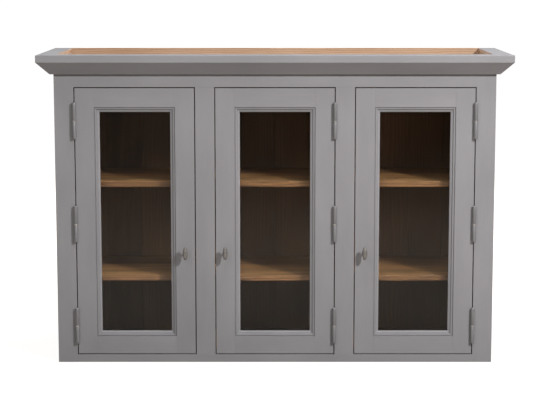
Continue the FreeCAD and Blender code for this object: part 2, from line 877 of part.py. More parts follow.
def doors():
    leaves = at_each_hinge(hinge_half("hinge_door_half", 1), "left_door_hinge_leaves")
    left = door_frame() + door_glazing() + [door_knob(), leaves, strike_plate()]
    made = list(left)
    for door, plane in (("middle", middle_mirror), ("right", as_size(0))):
        made += [mirrored(piece, piece.Label.replace("left", door, 1), plane) for piece in left]
    return made


def check_model(pieces):
    """Stop on a failed object, an unsound shape, or a cut or pad that changed nothing."""
    for item in doc.Objects:
        if "Invalid" in item.State or "Error" in item.State:
            raise RuntimeError(f"{item.Label} failed: {item.State}")
        base = getattr(item, "BaseFeature", None)
        if item.isDerivedFrom("PartDesign::FeatureAddSub") and base is not None:
            change = item.Shape.Volume - base.Shape.Volume
            if abs(change) < 1 or (change > 0) == ("Pocket" in item.TypeId):
                raise RuntimeError(f"{item.Label} changes the volume by {change:.2f} mm3")
    for piece in pieces:
        if piece.Shape.isNull() or not piece.Shape.isValid() or not piece.Shape.Solids:
            raise RuntimeError(f"{piece.Label} has no sound solid")


pieces = side_panels() + level_boards() + partitions() + back_boards()
pieces += face_stiles() + mullions() + face_rails() + crown()
pieces += shelves() + shelf_pins() + hinges() + catches() + doors()
doc.recompute()
check_model(pieces)

os.makedirs("parts", exist_ok=True)
for piece in pieces:
    Part.makeCompound(piece.Shape.Solids).exportStep(f"parts/{piece.Label}.step")
print(f"{len(pieces)} pieces written")
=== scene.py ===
"""Finishes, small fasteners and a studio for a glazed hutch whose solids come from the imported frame."""

import collections
import math

import bmesh
import bpy
from mathutils import Matrix, Vector


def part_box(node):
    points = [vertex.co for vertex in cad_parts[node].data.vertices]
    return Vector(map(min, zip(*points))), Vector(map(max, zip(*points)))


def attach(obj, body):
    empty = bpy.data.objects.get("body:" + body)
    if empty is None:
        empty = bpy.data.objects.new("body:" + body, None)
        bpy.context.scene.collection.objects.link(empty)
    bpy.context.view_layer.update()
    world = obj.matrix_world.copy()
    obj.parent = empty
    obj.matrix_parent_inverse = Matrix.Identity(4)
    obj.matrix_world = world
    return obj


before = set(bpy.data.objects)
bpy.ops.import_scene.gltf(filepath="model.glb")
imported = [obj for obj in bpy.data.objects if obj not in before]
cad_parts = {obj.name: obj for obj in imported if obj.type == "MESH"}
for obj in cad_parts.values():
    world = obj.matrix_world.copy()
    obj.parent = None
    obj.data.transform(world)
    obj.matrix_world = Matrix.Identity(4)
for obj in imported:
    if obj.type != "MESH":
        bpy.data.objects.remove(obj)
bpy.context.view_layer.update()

bl_info = {
    "name": "Glazed Hutch",
    "version": (1, 0, 0),
    "blender": (4, 5, 0),
    "location": "View3D > Sidebar > Hutch",
    "description": "Finishes a three-door glazed hutch, adds its fasteners and sets up a studio",
    "category": "Object",
}

MM = 0.001
DOORS = ("left", "middle", "right")

# Middles of the hinges above the floor, and how far a leaf's middle is from its hinge's middle
HINGE_HEIGHTS = (114 * MM, 424 * MM, 734 * MM)
LEAF_RISE = 27.5 * MM

# Screws of a leaf: how far each lies above the leaf's middle and in from its rear edge
LEAF_SCREWS = ((-15 * MM, 13 * MM), (0 * MM, 6.5 * MM), (15 * MM, 13 * MM))

# The face of each leaf stands this far from the hinge's axis
LEAF_FACE = 0.5 * MM

# A screw turns this many radians further than the one before it, so no two slots line up
NEXT_TURN = 2.4

# Rings of a domed head: how far in, as shares of its radius, and how far up, as shares of its dome
DOME_RINGS = ((0.12, 0.42), (0.2, 0.33), (0.3, 0.25))

# Catches: the height of a lug, how far its screws are from the middle, and the heights of its strips
LUG_HEIGHT = 3 * MM
LUG_SCREW_OUT = 19.5 * MM
STRIP_HEIGHTS = (8.5 * MM, 13.5 * MM)

# Screws of a strike plate are this far from its middle
PLATE_SCREW_OUT = 12 * MM

# Boards in the back, and staves in a shelf and in any other glued panel
BACK_BOARDS = 12
SHELF_STAVES = 7
PANEL_STAVES = 3

# Nails: two across each back board, near its ends, and a row up each side of the back
NAIL_SHARES = (0.22, 0.78)
END_NAIL_IN = 10 * MM
SIDE_NAIL_IN = 5 * MM
SIDE_NAIL_HEIGHTS = (150 * MM, 293 * MM, 436 * MM, 579 * MM, 722 * MM)

# Screws in the top board are this far behind the middle of the hutch
TOP_SCREW_DEPTHS = (-95 * MM, 28 * MM, 150 * MM)

# Two coats meet this far behind the face that one of them covers, so that it covers all of the face
COAT_EDGE = 0.5 * MM

# Open-grained wood with no wax or varnish shines less than paint, whose level is 0.5
BARE_SHINE = 0.2

# Painted shade on the front edge of a shelf: the edge keeps these shares of its wood's red, green and blue
PAINTED_SHADE_FRONT = (0.86, 0.755, 0.67)

# Places of a Mix node's sockets: its factor, two numbers and their mix, two colours and their mix
MIX_FACTOR = 0
NUMBER_A, NUMBER_B, NUMBER_RESULT = 2, 3, 0
COLOUR_A, COLOUR_B, COLOUR_RESULT = 6, 7, 2

# What a coat gives the shader: its colour, its roughness and the height of its surface
Coat = collections.namedtuple("Coat", "colour roughness height")


def linear(code):
    """Turns an sRGB hex colour into linear red, green, blue and alpha."""
    levels = [int(code[place:place + 2], 16) / 255 for place in (0, 2, 4)]
    rgb = [v / 12.92 if v <= 0.04045 else ((v + 0.055) / 1.055) ** 2.4 for v in levels]
    return (*rgb, 1.0)


def colour_setting(name, description, code):
    """Makes a colour property from an sRGB hex value."""
    return bpy.props.FloatVectorProperty(
        name=name,
        description=description,
        subtype="COLOR",
        size=4,
        min=0.0,
        max=1.0,
        default=linear(code),
    )


def length_setting(name, description, default):
    """Makes a length property in metres."""
    return bpy.props.FloatProperty(
        name=name,
        description=description,
        subtype="DISTANCE",
        unit="LENGTH",
        default=default,
        precision=5,
    )


class HutchSizes(bpy.types.PropertyGroup):
    """Small sizes of the hutch that the solids leave sharp or leave out."""

    arris: length_setting("Arris", "Width of the rubbed-down edges of the timber", 0.4 * MM)
    shelf_arris: length_setting("Shelf arris", "Width of the rounded edges of the shelves", 2.5 * MM)
    metal_arris: length_setting("Metal arris", "Width of the eased edges of the metal", 0.25 * MM)
    hinge_screw: length_setting("Hinge screw", "Radius of the hinge screws' heads", 3.3 * MM)
    top_screw: length_setting("Top screw", "Radius of the heads in the top board", 4.2 * MM)
    catch_screw: length_setting("Catch screw", "Radius of the heads in the catches", 2.9 * MM)
    plate_screw: length_setting("Plate screw", "Radius of the heads in the strike plates", 2.6 * MM)
    back_nail: length_setting("Back nail", "Radius of the heads of the nails in the back", 2.3 * MM)


class HutchFinishes(bpy.types.PropertyGroup):
    """Colours of the hutch."""

    paint: colour_setting("Grey paint", "Eggshell paint of the carcass, the doors and the crown", "989699")
    raw_pale: colour_setting("Raw pine, pale", "Early wood of the bare pine", "ceb39b")
    raw_dark: colour_setting("Raw pine, dark", "Late wood of the bare pine", "a17b5c")
    inside_pale: colour_setting("Inside, pale", "Early wood of the stained inside", "876548")
    inside_dark: colour_setting("Inside, dark", "Late wood and knots of the stained inside", "583f2c")
    shelf_pale: colour_setting("Shelf, pale", "Early wood of the waxed shelves", "9a7046")
    shelf_dark: colour_setting("Shelf, dark", "Late wood of the waxed shelves", "50321b")
    glass: colour_setting("Glass", "Tint of the panes", "f7faf8")
    pewter: colour_setting("Pewter", "Cast knobs", "8a8581")
    steel: colour_setting("Hinge steel", "Patinated steel of the hinges", "878587")
    brass: colour_setting("Brass", "Washers between the knuckles", "d9d4c8")
    zinc: colour_setting("Zinc", "Plated pins, plates and screws", "b4b5b7")
    plastic: colour_setting("Catch plastic", "Moulded catch bodies", "59412e")


class HutchStudio(bpy.types.PropertyGroup):
    """Camera and light of the photograph."""

    lens: bpy.props.FloatProperty(
        name="Lens",
        description="Focal length on a 36 mm sensor",
        subtype="DISTANCE_CAMERA",
        default=96.91,
    )
    distance: length_setting("Camera distance", "Camera in front of the middle of the hutch", 4.5179)
    height: length_setting("Camera height", "Camera above the floor", 1.18929)
    tilt: bpy.props.FloatProperty(
        name="Tilt",
        description="How far the camera looks down",
        subtype="ANGLE",
        default=0.1305,
    )
    rise: bpy.props.FloatProperty(
        name="Shift",
        description="Vertical shift of the frame, as a share of its width",
        default=-46 / 550,
    )
    key: bpy.props.FloatProperty(
        name="Key light",
        description="Power of the soft box at the right",
        unit="POWER",
        default=99.0,
    )
    fill: bpy.props.FloatProperty(
        name="Fill light",
        description="Power of the soft box at the left",
        unit="POWER",
        default=19.0,
    )
    top: bpy.props.FloatProperty(
        name="Top light",
        description="Power of the soft box overhead",
        unit="POWER",
        default=35.0,
    )
    rear: bpy.props.FloatProperty(
        name="Rear light",
        description="Power of each of the two soft boxes behind the hutch",
        unit="POWER",
        default=62.0,
    )
    room: bpy.props.FloatProperty(
        name="Room light",
        description="Strength of the even light from all round",
        default=0.06,
    )


# Finishes


def add_node(tree, kind, sockets=None, **settings):
    """Adds a node, sets its options, and fills its sockets with values or links."""
    node = tree.nodes.new(kind)
    for name, value in settings.items():
        setattr(node, name, value)
    for key, value in (sockets or {}).items():
        if isinstance(value, bpy.types.NodeSocket):
            tree.links.new(value, node.inputs[key])
        else:
            node.inputs[key].default_value = value
    return node


def new_finish(name):
    """Makes an empty node material and gives it with its tree."""
    material = bpy.data.materials.new(name)
    material.use_nodes = True
    material.node_tree.nodes.clear()
    return material, material.node_tree


def stretched(tree, grain, across, along, offset=None):
    """Gives the place on the piece in pattern units: one unit is across or along metres."""
    place = add_node(tree, "ShaderNodeTexCoord").outputs["Object"]
    if offset is not None:
        place = add_node(
            tree, "ShaderNodeVectorMath", {0: place, 1: offset}, operation="ADD"
        ).outputs["Vector"]
    scale = [1 / along if axis == grain else 1 / across for axis in "XYZ"]
    return add_node(tree, "ShaderNodeMapping", {"Vector": place, "Scale": scale}).outputs["Vector"]


def beyond(tree, axis, limit, either_side=False):
    """Gives 1 where the piece lies past limit on an axis, on either side if asked, and 0 elsewhere."""
    place = add_node(tree, "ShaderNodeTexCoord").outputs["Object"]
    value = add_node(tree, "ShaderNodeSeparateXYZ", {0: place}).outputs[axis]
    if either_side:
        value = add_node(tree, "ShaderNodeMath", {0: value}, operation="ABSOLUTE").outputs[0]
    return add_node(tree, "ShaderNodeMath", {0: value, 1: limit}, operation="GREATER_THAN").outputs[0]


def staves(tree, axis, low, wide):
    """Gives each stave of a glued panel a random vector of up to 3 m and a random value.

    The staves are wide along an axis from low, and the vector moves each to other wood.
    """
    place = add_node(tree, "ShaderNodeTexCoord").outputs["Object"]
    across = add_node(tree, "ShaderNodeSeparateXYZ", {0: place}).outputs[axis]
    number = add_node(
        tree,
        "ShaderNodeMapRange",
        {"Value": across, "From Min": low, "From Max": low + wide},
        clamp=False,
    ).outputs["Result"]
    number = add_node(tree, "ShaderNodeMath", {0: number}, operation="FLOOR").outputs[0]
    chance = add_node(tree, "ShaderNodeTexWhiteNoise", {"W": number}, noise_dimensions="1D")
    shift = add_node(
        tree, "ShaderNodeVectorMath", {0: chance.outputs["Color"], "Scale": 3.0}, operation="SCALE"
    ).outputs["Vector"]
    return shift, chance.outputs["Value"]


def toned(tree, coat, chance, low, high):
    """Makes each stave a little darker or paler by its chance."""
    level = add_node(
        tree, "ShaderNodeMapRange", {"Value": chance, "To Min": low, "To Max": high}
    ).outputs["Result"]
    colour = add_node(
        tree, "ShaderNodeVectorMath", {0: coat.colour, "Scale": level}, operation="SCALE"
    ).outputs["Vector"]
    return coat._replace(colour=colour)


def brushed_paint(tree, grain, finishes):
    """Eggshell paint brushed on pine: a soft sheen, with faint brush marks along each piece.

    The marks are about 130 mm long, and 1.5 mm wide, coarser than real ones so that they show. The
    coat varies a little over 90 mm across and 220 mm along.
    """
    marks = add_node(
        tree,
        "ShaderNodeTexNoise",
        {
            "Vector": stretched(tree, grain, 1.5 * MM, 130 * MM),
            "Scale": 1.0,
            "Detail": 3.0,
            "Roughness": 0.6,
        },
    ).outputs["Fac"]
    cloud = add_node(
        tree,
        "ShaderNodeTexNoise",
        {"Vector": stretched(tree, grain, 90 * MM, 220 * MM), "Scale": 1.0, "Detail": 3.0},
    ).outputs["Fac"]
    tone = add_node(
        tree, "ShaderNodeMath", {0: marks, 1: 0.35, 2: cloud}, operation="MULTIPLY_ADD"
    ).outputs[0]
    level = add_node(
        tree,
        "ShaderNodeMapRange",
        {"Value": tone, "From Min": 0.35, "From Max": 1.0, "To Min": 0.9, "To Max": 1.1},
    ).outputs["Result"]
    colour = add_node(
        tree, "ShaderNodeVectorMath", {0: finishes.paint[:3], "Scale": level}, operation="SCALE"
    ).outputs["Vector"]
    roughness = add_node(
        tree,
        "ShaderNodeMapRange",
        {"Value": marks, "From Min": 0.2, "From Max": 0.8, "To Min": 0.58, "To Max": 0.72},
    ).outputs["Result"]
    return Coat(colour, roughness, marks)


def planed_pine(tree, grain, pale, dark, roughness, offset=None, contrast=1.0):
    """Planed pine: dark late-wood lines wander along the board among fine fibres, with a few knots.

    Rings are about 7 mm apart and knots about 20 by 50 mm. Fibres are 70 mm long, and 1 mm wide, far
    coarser than real ones so that they show. A contrast under 1 makes the grain fainter, as under a
    dark stain, and one over 1 makes it bolder, so that it shows on a shelf seen at a low angle.
    """
    # The Wave texture has a ring in every 2 pi / 20 of its own length
    ring_scale = 2 * math.pi / 20 / (7 * MM)
    rings = add_node(
        tree,
        "ShaderNodeTexWave",
        {
            "Vector": stretched(tree, grain, 1.0, 9.0, offset),
            "Scale": ring_scale,
            "Distortion": 16.0,
            "Detail": 2.0,
            "Detail Scale": 1 / (ring_scale * 60 * MM),
            "Detail Roughness": 0.55,
        },
        wave_type="RINGS",
        rings_direction=grain,
    ).outputs["Fac"]
    fibres = add_node(
        tree,
        "ShaderNodeTexNoise",
        {
            "Vector": stretched(tree, grain, 1.0 * MM, 70 * MM, offset),
            "Scale": 1.0,
            "Detail": 4.0,
            "Roughness": 0.65,
        },
    ).outputs["Fac"]
    patches = add_node(
        tree,
        "ShaderNodeTexNoise",
        {"Vector": stretched(tree, grain, 60 * MM, 400 * MM, offset), "Scale": 1.0, "Detail": 2.0},
    ).outputs["Fac"]
    share = add_node(
        tree, "ShaderNodeMath", {0: rings, 1: 0.34, 2: fibres}, operation="MULTIPLY_ADD"
    ).outputs[0]
    share = add_node(
        tree, "ShaderNodeMath", {0: patches, 1: 0.7, 2: share}, operation="MULTIPLY_ADD"
    ).outputs[0]
    share = add_node(
        tree,
        "ShaderNodeMapRange",
        {"Value": share, "From Min": 1.05 - 0.4 / contrast, "From Max": 1.05 + 0.4 / contrast},
    ).outputs["Result"]
    # A cell of 130 by 330 mm may hold one knot, and about four in ten do
    cells = add_node(
        tree,
        "ShaderNodeTexVoronoi",
        {"Vector": stretched(tree, grain, 130 * MM, 330 * MM, offset), "Scale": 1.0},
    )
    chosen = add_node(tree, "ShaderNodeSeparateColor", {0: cells.outputs["Color"]}).outputs["Red"]
    chosen = add_node(
        tree, "ShaderNodeMath", {0: chosen, 1: 0.62}, operation="GREATER_THAN"
    ).outputs[0]
    knot = add_node(
        tree,
        "ShaderNodeMapRange",
        {
            "Value": cells.outputs["Distance"],
            "From Min": 0.05,
            "From Max": 0.13,
            "To Min": chosen,
            "To Max": 0.0,
        },
    ).outputs["Result"]
    share = add_node(tree, "ShaderNodeMath", {0: share, 1: knot}, operation="MAXIMUM").outputs[0]
    colour = add_node(
        tree,
        "ShaderNodeMix",
        {MIX_FACTOR: share, COLOUR_A: pale, COLOUR_B: dark},
        data_type="RGBA",
    ).outputs[COLOUR_RESULT]
    rough = add_node(
        tree,
        "ShaderNodeMapRange",
        {
            "Value": fibres,
            "From Min": 0.2,
            "From Max": 0.8,
            "To Min": roughness - 0.07,
            "To Max": roughness + 0.07,
        },
    ).outputs["Result"]
    return Coat(colour, rough, fibres)


def two_coats(tree, mask, inner, outer):
    """Shows outer where mask is 1 and inner where it is 0."""
    mixed = add_node(
        tree,
        "ShaderNodeMix",
        {MIX_FACTOR: mask, COLOUR_A: inner.colour, COLOUR_B: outer.colour},
        data_type="RGBA",
    ).outputs[COLOUR_RESULT]
    values = []
    for first, second in ((inner.roughness, outer.roughness), (inner.height, outer.height)):
        node = add_node(
            tree,
            "ShaderNodeMix",
            {MIX_FACTOR: mask, NUMBER_A: first, NUMBER_B: second},
            data_type="FLOAT",
        )
        values.append(node.outputs[NUMBER_RESULT])
    return Coat(mixed, *values)


def close_finish(tree, coat, relief, shine=0.5):
    """Ends a timber or paint finish with its shader; relief is the depth of its grain in metres.

    A shine of 0.5 is that of paint or wax, and less is that of open-grained wood under a thin stain.
    """
    bump = add_node(
        tree, "ShaderNodeBump", {"Height": coat.height, "Strength": 0.5, "Distance": relief}
    ).outputs["Normal"]
    shader = add_node(
        tree,
        "ShaderNodeBsdfPrincipled",
        {
            "Base Color": coat.colour,
            "Roughness": coat.roughness,
            "IOR": 1.5,
            "Specular IOR Level": shine,
            "Normal": bump,
        },
    )
    add_node(tree, "ShaderNodeOutputMaterial", {"Surface": shader.outputs["BSDF"]})


def painted_timber(name, grain, finishes):
    """Grey paint on every face."""
    material, tree = new_finish(name)
    close_finish(tree, brushed_paint(tree, grain, finishes), 0.12 * MM)
    return material


def painted_outside(name, grain, finishes, axis, limit, either_side=False, bare=False):
    """Grey paint on the outside, and bare or stained pine inside a limit on one axis.

    The outside lies beyond the limit on either side, or else before it, at the front.
    """
    material, tree = new_finish(name)
    if bare:
        wood = planed_pine(tree, grain, finishes.raw_pale, finishes.raw_dark, 0.7)
    else:
        wood = planed_pine(tree, grain, finishes.inside_pale, finishes.inside_dark, 0.5)
    past = beyond(tree, axis, limit, either_side)
    paint = brushed_paint(tree, grain, finishes)
    if either_side:
        coat = two_coats(tree, past, wood, paint)
    else:
        coat = two_coats(tree, past, paint, wood)
    close_finish(tree, coat, 0.12 * MM)
    return material


def glued_pine(name, grain, pale, dark, roughness, node, contrast=1.0):
    """A panel glued from a few staves from front to back, each with its own grain and tone."""
    material, tree = new_finish(name)
    low, high = low_of(node).y, high_of(node).y
    offset, chance = staves(tree, "Y", low, (high - low) / PANEL_STAVES)
    coat = planed_pine(tree, grain, pale, dark, roughness, offset, contrast=contrast)
    close_finish(tree, toned(tree, coat, chance, 0.88, 1.12), 0.15 * MM, BARE_SHINE)
    return material


def plain_pine(name, grain, pale, dark, roughness):
    """One kind of pine on every face."""
    material, tree = new_finish(name)
    close_finish(tree, planed_pine(tree, grain, pale, dark, roughness), 0.15 * MM, BARE_SHINE)
    return material


def waxed_shelf(finishes):
    """Waxed pine glued from staves, with a soft shine, a bold grain and painted shade on its front edge.
    """
    material, tree = new_finish("waxed pine shelf")
    front = low_of("left_lower_shelf").y + COAT_EDGE
    rear = high_of("left_lower_shelf").y
    offset, chance = staves(tree, "Y", front, (rear - front) / SHELF_STAVES)
    pale, dark = finishes.shelf_pale, finishes.shelf_dark
    coat = planed_pine(tree, "X", pale, dark, 0.45, offset, contrast=1.8)
    coat = toned(tree, coat, chance, 0.72, 1.28)
    # Painted shade: the front edge is darkened by fixed shares of the wood's colour
    edge = add_node(
        tree, "ShaderNodeVectorMath", {0: coat.colour, 1: PAINTED_SHADE_FRONT}, operation="MULTIPLY"
    ).outputs["Vector"]
    colour = add_node(
        tree,
        "ShaderNodeMix",
        {MIX_FACTOR: beyond(tree, "Y", front), COLOUR_A: edge, COLOUR_B: coat.colour},
        data_type="RGBA",
    ).outputs[COLOUR_RESULT]
    close_finish(tree, coat._replace(colour=colour), 0.15 * MM)
    return material


def boarded_back(finishes):
    """Upright boards, each with its own grain and tone, stained inside and bare at the rear."""
    material, tree = new_finish("stained pine boards")
    low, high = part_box("back_boards")
    offset, chance = staves(tree, "X", low.x, (high.x - low.x) / BACK_BOARDS)
    stained = planed_pine(
        tree, "Z", finishes.inside_pale, finishes.inside_dark, 0.5, offset, contrast=0.45
    )
    bare = planed_pine(tree, "Z", finishes.raw_pale, finishes.raw_dark, 0.75, offset)
    coat = two_coats(tree, beyond(tree, "Y", high.y - COAT_EDGE), stained, bare)
    close_finish(tree, toned(tree, coat, chance, 0.8, 1.16), 0.15 * MM, BARE_SHINE)
    return material


def worn_metal(name, colour, metallic, smooth, dull, grit):
    """Metal whose sheen is broken by wear and a film of oxide.

    The film leaves a share of the surface metallic. The roughness runs from smooth to dull over
    marks whose size, the grit, is in metres and coarse enough to show.
    """
    material, tree = new_finish(name)
    marks = add_node(
        tree,
        "ShaderNodeTexNoise",
        {"Vector": stretched(tree, "Z", grit, grit), "Scale": 1.0, "Detail": 4.0, "Roughness": 0.6},
    ).outputs["Fac"]
    roughness = add_node(
        tree,
        "ShaderNodeMapRange",
        {"Value": marks, "From Min": 0.25, "From Max": 0.75, "To Min": smooth, "To Max": dull},
    ).outputs["Result"]
    level = add_node(
        tree,
        "ShaderNodeMapRange",
        {"Value": marks, "From Min": 0.25, "From Max": 0.75, "To Min": 1.1, "To Max": 0.86},
    ).outputs["Result"]
    tone = add_node(
        tree, "ShaderNodeVectorMath", {0: colour[:3], "Scale": level}, operation="SCALE"
    ).outputs["Vector"]
    bump = add_node(
        tree, "ShaderNodeBump", {"Height": marks, "Strength": 0.3, "Distance": 0.05 * MM}
    ).outputs["Normal"]
    shader = add_node(
        tree,
        "ShaderNodeBsdfPrincipled",
        {"Base Color": tone, "Metallic": metallic, "Roughness": roughness, "Normal": bump},
    )
    add_node(tree, "ShaderNodeOutputMaterial", {"Surface": shader.outputs["BSDF"]})
    return material


def float_glass(finishes):
    """Clear float glass with a faint mirror image; lamps light the inside through it.

    Its index is under the 1.5 of real glass, so that the white floor hides less of the inside.
    """
    material, tree = new_finish("clear float glass")
    glass = add_node(
        tree,
        "ShaderNodeBsdfPrincipled",
        {
            "Base Color": finishes.glass,
            "Roughness": 0.0,
            "IOR": 1.25,
            "Transmission Weight": 1.0,
        },
    )
    clear = add_node(tree, "ShaderNodeBsdfTransparent", {"Color": finishes.glass})
    path = add_node(tree, "ShaderNodeLightPath")
    both = add_node(
        tree,
        "ShaderNodeMixShader",
        {0: path.outputs["Is Shadow Ray"], 1: glass.outputs["BSDF"], 2: clear.outputs["BSDF"]},
    )
    add_node(tree, "ShaderNodeOutputMaterial", {"Surface": both.outputs["Shader"]})
    return material


def moulded_plastic(finishes):
    """Brown moulded plastic with a fine matt texture of about 0.6 mm."""
    material, tree = new_finish("moulded brown plastic")
    texture = add_node(
        tree,
        "ShaderNodeTexNoise",
        {"Vector": stretched(tree, "Z", 0.6 * MM, 0.6 * MM), "Scale": 1.0, "Detail": 2.0},
    ).outputs["Fac"]
    roughness = add_node(
        tree, "ShaderNodeMapRange", {"Value": texture, "To Min": 0.4, "To Max": 0.6}
    ).outputs["Result"]
    bump = add_node(
        tree, "ShaderNodeBump", {"Height": texture, "Strength": 0.3, "Distance": 0.05 * MM}
    ).outputs["Normal"]
    shader = add_node(
        tree,
        "ShaderNodeBsdfPrincipled",
        {"Base Color": finishes.plastic, "Roughness": roughness, "IOR": 1.46, "Normal": bump},
    )
    add_node(tree, "ShaderNodeOutputMaterial", {"Surface": shader.outputs["BSDF"]})
    return material


# Pieces


def low_of(name):
    """Lowest corner of a CAD node."""
    return Vector(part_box(name)[0])


def high_of(name):
    """Highest corner of a CAD node."""
    return Vector(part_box(name)[1])


def dress(name, material, arris):
    """Gives a CAD node its finish and eases its sharp edges."""
    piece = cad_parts[name]
    for place in piece.material_slots:
        place.material = material
    if arris > 0:
        weld = piece.modifiers.new("merge corners", "WELD")
        weld.merge_threshold = 0.01 * MM
        ease = piece.modifiers.new("ease edges", "BEVEL")
        ease.width = arris
        ease.segments = 2
        ease.limit_method = "ANGLE"
        ease.angle_limit = math.radians(35)


class HUTCH_OT_carcass(bpy.types.Operator):
    """Paints the carcass outside and stains it inside"""

    bl_idname = "hutch.carcass"
    bl_label = "Finish the carcass"

    def execute(self, context):
        sizes = context.scene.hutch_sizes
        finishes = context.scene.hutch_finishes
        outer = high_of("right_side_panel").x
        inside_of_frame = high_of("left_face_stile").y
        side = painted_outside(
            "side panel paint", "Z", finishes, "X", outer - COAT_EDGE, either_side=True
        )
        for name in ("left_side_panel", "right_side_panel"):
            dress(name, side, sizes.arris)
        upright = painted_outside(
            "upright frame paint", "Z", finishes, "Y", inside_of_frame - COAT_EDGE
        )
        for name in ("left_face_stile", "right_face_stile", "left_mullion", "right_mullion"):
            dress(name, upright, sizes.arris)
        level = painted_outside(
            "level frame paint", "X", finishes, "Y", inside_of_frame - COAT_EDGE
        )
        for name in ("top_face_rail", "bottom_face_rail"):
            dress(name, level, sizes.arris)
        dress("back_boards", boarded_back(finishes), 0.0)
        stain = (finishes.inside_pale, finishes.inside_dark, 0.5)
        partition = glued_pine("stained pine partition", "Z", *stain, "left_partition", contrast=0.45)
        for name in ("left_partition", "right_partition"):
            dress(name, partition, sizes.arris)
        bottom = glued_pine("stained pine bottom", "X", *stain, "bottom_board", contrast=0.6)
        dress("bottom_board", bottom, sizes.arris)
        shelf = waxed_shelf(finishes)
        for door in DOORS:
            dress(f"{door}_lower_shelf", shelf, sizes.shelf_arris)
            dress(f"{door}_upper_shelf", shelf, sizes.shelf_arris)
        return {"FINISHED"}


class HUTCH_OT_crown(bpy.types.Operator):
    """Paints the crown and leaves the well behind it bare"""

    bl_idname = "hutch.crown"
    bl_label = "Finish the crown"

    def execute(self, context):
        sizes = context.scene.hutch_sizes
        finishes = context.scene.hutch_finishes
        well_front = high_of("crown_front").y
        well_side = low_of("crown_right_return").x
        front = painted_outside(
            "crown front paint", "X", finishes, "Y", well_front - COAT_EDGE, bare=True
        )
        dress("crown_front", front, sizes.arris)
        returns = painted_outside(
            "crown return paint", "Y", finishes, "X", well_side + COAT_EDGE, either_side=True, bare=True
        )
        for name in ("crown_left_return", "crown_right_return"):
            dress(name, returns, sizes.arris)
        raw = (finishes.raw_pale, finishes.raw_dark, 0.7)
        dress("top_board", glued_pine("bare pine panel", "X", *raw, "top_board"), sizes.arris)
        dress("crown_back_rail", plain_pine("bare pine rail", "X", *raw), sizes.arris)
        return {"FINISHED"}


class HUTCH_OT_doors(bpy.types.Operator):
    """Paints the three doors and glazes them"""

    bl_idname = "hutch.doors"
    bl_label = "Finish the doors"

    def execute(self, context):
        sizes = context.scene.hutch_sizes
        finishes = context.scene.hutch_finishes
        upright = painted_timber("upright door paint", "Z", finishes)
        level = painted_timber("level door paint", "X", finishes)
        glass = float_glass(finishes)
        for door in DOORS:
            for part in ("hinge_stile", "lock_stile"):
                dress(f"{door}_door_{part}", upright, sizes.arris)
            for part in ("top_rail", "bottom_rail"):
                dress(f"{door}_door_{part}", level, sizes.arris)
            dress(f"{door}_door_moulding", upright, 0.0)
            dress(f"{door}_door_glazing_beads", upright, 0.0)
            dress(f"{door}_door_glass", glass, 0.0)
        return {"FINISHED"}


class HUTCH_OT_hardware(bpy.types.Operator):
    """Gives the knobs, hinges, pins, plates and catches their metals and plastic"""

    bl_idname = "hutch.hardware"
    bl_label = "Finish the hardware"

    def execute(self, context):
        sizes = context.scene.hutch_sizes
        finishes = context.scene.hutch_finishes
        # Pewter is cast, dulled by oxide and rubbed smooth by hands, so it keeps small sharp highlights
        pewter = worn_metal(
            "cast pewter", finishes.pewter, metallic=0.5, smooth=0.14, dull=0.24, grit=4 * MM
        )
        # Steel with a patina nearly all over has a broad, weak sheen
        steel = worn_metal(
            "patinated steel", finishes.steel, metallic=0.35, smooth=0.42, dull=0.58, grit=3 * MM
        )
        # Brass is turned and bright, so the washers show as pale rings
        brass = worn_metal(
            "turned brass", finishes.brass, metallic=1.0, smooth=0.18, dull=0.3, grit=2 * MM
        )
        # Zinc plate is bright but satin
        zinc = worn_metal(
            "zinc plated steel", finishes.zinc, metallic=1.0, smooth=0.3, dull=0.45, grit=3 * MM
        )
        for door in DOORS:
            dress(f"{door}_door_knob", pewter, 0.0)
            dress(f"{door}_door_hinge_leaves", steel, sizes.metal_arris)
            dress(f"{door}_door_strike_plate", zinc, sizes.metal_arris)
        dress("hinge_frame_leaves", steel, sizes.metal_arris)
        dress("hinge_pins", steel, 0.0)
        dress("hinge_washers", brass, 0.0)
        dress("shelf_pins", zinc, sizes.metal_arris)
        dress("catch_bodies", moulded_plastic(finishes), sizes.metal_arris)
        return {"FINISHED"}


# Fasteners


def pick_faces(piece, wanted):
    """Selects only those faces of a piece in edit mode that wanted says yes to."""
    bpy.ops.mesh.select_mode(type="FACE")
    bpy.ops.mesh.select_all(action="DESELECT")
    shape = bmesh.from_edit_mesh(piece.data)
    for face in shape.faces:
        face.select_set(wanted(face))
    bmesh.update_edit_mesh(piece.data)


def round_head(name, radius, rim, crown, sides=24):
    """Makes a head that stands on the plane z = 0: a straight rim, a domed crown and a buried neck."""
    neck = 0.6 * MM
    bpy.ops.object.select_all(action="DESELECT")
    bpy.ops.mesh.primitive_cylinder_add(
        vertices=sides, radius=radius, depth=rim + neck, location=(0.0, 0.0, (rim - neck) / 2)
    )
    head = bpy.context.object
    head.name = name
    bpy.ops.object.transform_apply(location=True, rotation=False, scale=False)
    bpy.ops.object.mode_set(mode="EDIT")
    pick_faces(head, lambda face: face.normal.z > 0.9)
    for inset, rise in DOME_RINGS:
        bpy.ops.mesh.inset(thickness=radius * inset)
        bpy.ops.transform.translate(value=(0.0, 0.0, crown * rise))
    bpy.ops.object.mode_set(mode="OBJECT")
    return head


def cut_slot(head, radius, wide, bottom):
    """Cuts a screwdriver's slot across a head, down to the height bottom."""
    tall = 2 * MM
    bpy.ops.object.select_all(action="DESELECT")
    bpy.ops.mesh.primitive_cube_add(
        size=1.0, location=(0.0, 0.0, bottom + tall / 2), scale=(radius * 3, wide, tall)
    )
    blade = bpy.context.object
    bpy.ops.object.transform_apply(location=True, rotation=False, scale=True)
    slot = head.modifiers.new("slot", "BOOLEAN")
    slot.operation = "DIFFERENCE"
    slot.object = blade
    bpy.context.view_layer.objects.active = head
    bpy.ops.object.modifier_apply(modifier=slot.name)
    bpy.data.objects.remove(blade)


